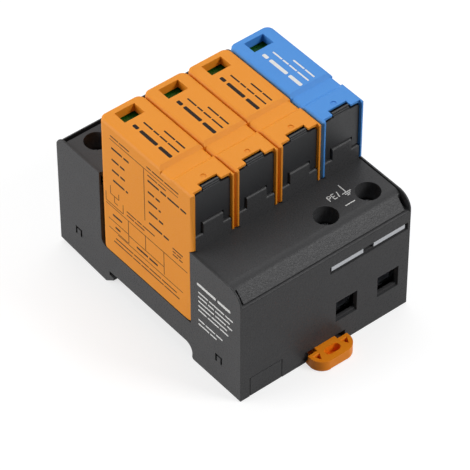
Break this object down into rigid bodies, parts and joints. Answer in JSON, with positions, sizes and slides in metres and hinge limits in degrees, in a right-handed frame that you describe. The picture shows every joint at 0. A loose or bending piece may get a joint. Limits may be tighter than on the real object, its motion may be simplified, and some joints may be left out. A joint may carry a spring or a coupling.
{
  "type": "din rail surge arrester",
  "caption": "Pluggable surge arrester for a top-hat rail: orange and blue arrester plugs in a black base with lifting screw clamps, status windows and a sliding rail foot.",
  "frame": {"origin": "on the surface that the part lies on, under the middle of its outline with the foot pushed in", "axes": "+X along the rail towards the neutral pole, -Y towards the earth terminals and the foot, +Z away from the rail, the way the plugs pull out"},
  "size_m": [0.072, 0.1046, 0.0746],
  "materials": {
    "base_black": "spark-eroded moulded polyamide",
    "cover_orange": "fine satin moulded polyamide",
    "cover_blue": "fine satin moulded polyamide",
    "carrier_black": "moulded polyamide",
    "foot_orange": "moulded acetal",
    "zinc_steel": "zinc-plated",
    "contact_copper": "stamped copper strip",
    "contact_tin": "stamped copper strip, tin-plated",
    "varistor_coat": "dipped epoxy",
    "spark_gap_case": "moulded case",
    "fault_red": "moulded",
    "ready_green": "moulded"
  },
  "bodies": {
    "base": {"base_tub": "base_black", "base_deck": "base_black", "signal_port_blank": "base_black", "l1_contact": "contact_copper", "l2_contact": "contact_copper", "l3_contact": "contact_copper", "neutral_busbar": "contact_copper", "pe_busbar": "contact_tin"},
    "foot": {"rail_foot": "foot_orange"},
    "l1_clamp": {"l1_cage": "zinc_steel"},
    "l1_clamp_screw": {"l1_screw": "zinc_steel"},
    "l2_clamp": {"l2_cage": "zinc_steel"},
    "l2_clamp_screw": {"l2_screw": "zinc_steel"},
    "l3_clamp": {"l3_cage": "zinc_steel"},
    "l3_clamp_screw": {"l3_screw": "zinc_steel"},
    "n_clamp": {"n_cage": "zinc_steel"},
    "n_clamp_screw": {"n_screw": "zinc_steel"},
    "pe1_clamp": {"pe1_cage": "zinc_steel"},
    "pe1_clamp_screw": {"pe1_screw": "zinc_steel"},
    "pe2_clamp": {"pe2_cage": "zinc_steel"},
    "pe2_clamp_screw": {"pe2_screw": "zinc_steel"},
    "l1_plug": {"l1_cover": "cover_orange", "l1_carrier": "carrier_black", "l1_varistor": "varistor_coat", "l1_line_blade": "contact_copper", "l1_common_blade": "contact_copper", "l1_trip_frame": "fault_red"},
    "l1_flag": {"l1_status_flag": "ready_green"},
    "l2_plug": {"l2_cover": "cover_orange", "l2_carrier": "carrier_black", "l2_varistor": "varistor_coat", "l2_line_blade": "contact_copper", "l2_common_blade": "contact_copper", "l2_trip_frame": "fault_red"},
    "l2_flag": {"l2_status_flag": "ready_green"},
    "l3_plug": {"l3_cover": "cover_orange", "l3_carrier": "carrier_black", "l3_varistor": "varistor_coat", "l3_line_blade": "contact_copper", "l3_common_blade": "contact_copper", "l3_trip_frame": "fault_red"},
    "l3_flag": {"l3_status_flag": "ready_green"},
    "n_plug": {"n_cover": "cover_blue", "n_carrier": "carrier_black", "n_spark_gap": "spark_gap_case", "n_line_blade": "contact_copper", "n_common_blade": "contact_copper", "n_trip_frame": "fault_red"},
    "n_flag": {"n_status_flag": "ready_green"}
  },
  "joints": [
    {"name": "foot_slide", "type": "slide", "parent": "base", "child": "foot", "axis": [0, -1, 0], "range_m": [0, 0.0045], "stiffness_N_per_m": 400},
    {"name": "l1_screw_turn", "type": "hinge", "parent": "base", "child": "l1_clamp_screw", "pos_m": [-0.027, 0.04175, 0.03], "axis": [0, 0, -1], "range_deg": [0, 2522]},
    {"name": "l1_clamp_lift", "type": "slide", "parent": "base", "child": "l1_clamp", "axis": [0, 0, 1], "range_m": [0, 0.007]},
    {"name": "l2_screw_turn", "type": "hinge", "parent": "base", "child": "l2_clamp_screw", "pos_m": [-0.009, 0.04175, 0.03], "axis": [0, 0, -1], "range_deg": [0, 2522]},
    {"name": "l2_clamp_lift", "type": "slide", "parent": "base", "child": "l2_clamp", "axis": [0, 0, 1], "range_m": [0, 0.007]},
    {"name": "l3_screw_turn", "type": "hinge", "parent": "base", "child": "l3_clamp_screw", "pos_m": [0.009, 0.04175, 0.03], "axis": [0, 0, -1], "range_deg": [0, 2522]},
    {"name": "l3_clamp_lift", "type": "slide", "parent": "base", "child": "l3_clamp", "axis": [0, 0, 1], "range_m": [0, 0.007]},
    {"name": "n_screw_turn", "type": "hinge", "parent": "base", "child": "n_clamp_screw", "pos_m": [0.027, 0.04175, 0.03], "axis": [0, 0, -1], "range_deg": [0, 2522]},
    {"name": "n_clamp_lift", "type": "slide", "parent": "base", "child": "n_clamp", "axis": [0, 0, 1], "range_m": [0, 0.007]},
    {"name": "pe1_screw_turn", "type": "hinge", "parent": "base", "child": "pe1_clamp_screw", "pos_m": [0.009, -0.03325, 0.03], "axis": [0, 0, -1], "range_deg": [0, 2522]},
    {"name": "pe1_clamp_lift", "type": "slide", "parent": "base", "child": "pe1_clamp", "axis": [0, 0, 1], "range_m": [0, 0.007]},
    {"name": "pe2_screw_turn", "type": "hinge", "parent": "base", "child": "pe2_clamp_screw", "pos_m": [0.027, -0.03325, 0.03], "axis": [0, 0, -1], "range_deg": [0, 2522]},
    {"name": "pe2_clamp_lift", "type": "slide", "parent": "base", "child": "pe2_clamp", "axis": [0, 0, 1], "range_m": [0, 0.007]},
    {"name": "l1_plug_pull", "type": "slide", "parent": "base", "child": "l1_plug", "axis": [0, 0, 1], "range_m": [0, 0.05]},
    {"name": "l1_flag_trip", "type": "slide", "parent": "l1_plug", "child": "l1_flag", "axis": [0, -1, 0], "range_m": [0, 0.0062]},
    {"name": "l2_plug_pull", "type": "slide", "parent": "base", "child": "l2_plug", "axis": [0, 0, 1], "range_m": [0, 0.05]},
    {"name": "l2_flag_trip", "type": "slide", "parent": "l2_plug", "child": "l2_flag", "axis": [0, -1, 0], "range_m": [0, 0.0062]},
    {"name": "l3_plug_pull", "type": "slide", "parent": "base", "child": "l3_plug", "axis": [0, 0, 1], "range_m": [0, 0.05]},
    {"name": "l3_flag_trip", "type": "slide", "parent": "l3_plug", "child": "l3_flag", "axis": [0, -1, 0], "range_m": [0, 0.0062]},
    {"name": "n_plug_pull", "type": "slide", "parent": "base", "child": "n_plug", "axis": [0, 0, 1], "range_m": [0, 0.05]},
    {"name": "n_flag_trip", "type": "slide", "parent": "n_plug", "child": "n_flag", "axis": [0, -1, 0], "range_m": [0, 0.0062]}
  ],
  "couplings": [
    {"joint": "l1_screw_turn", "follows": "l1_clamp_lift", "rad_per_m": 6283.2},
    {"joint": "l2_screw_turn", "follows": "l2_clamp_lift", "rad_per_m": 6283.2},
    {"joint": "l3_screw_turn", "follows": "l3_clamp_lift", "rad_per_m": 6283.2},
    {"joint": "n_screw_turn", "follows": "n_clamp_lift", "rad_per_m": 6283.2},
    {"joint": "pe1_screw_turn", "follows": "pe1_clamp_lift", "rad_per_m": 6283.2},
    {"joint": "pe2_screw_turn", "follows": "pe2_clamp_lift", "rad_per_m": 6283.2}
  ]
}
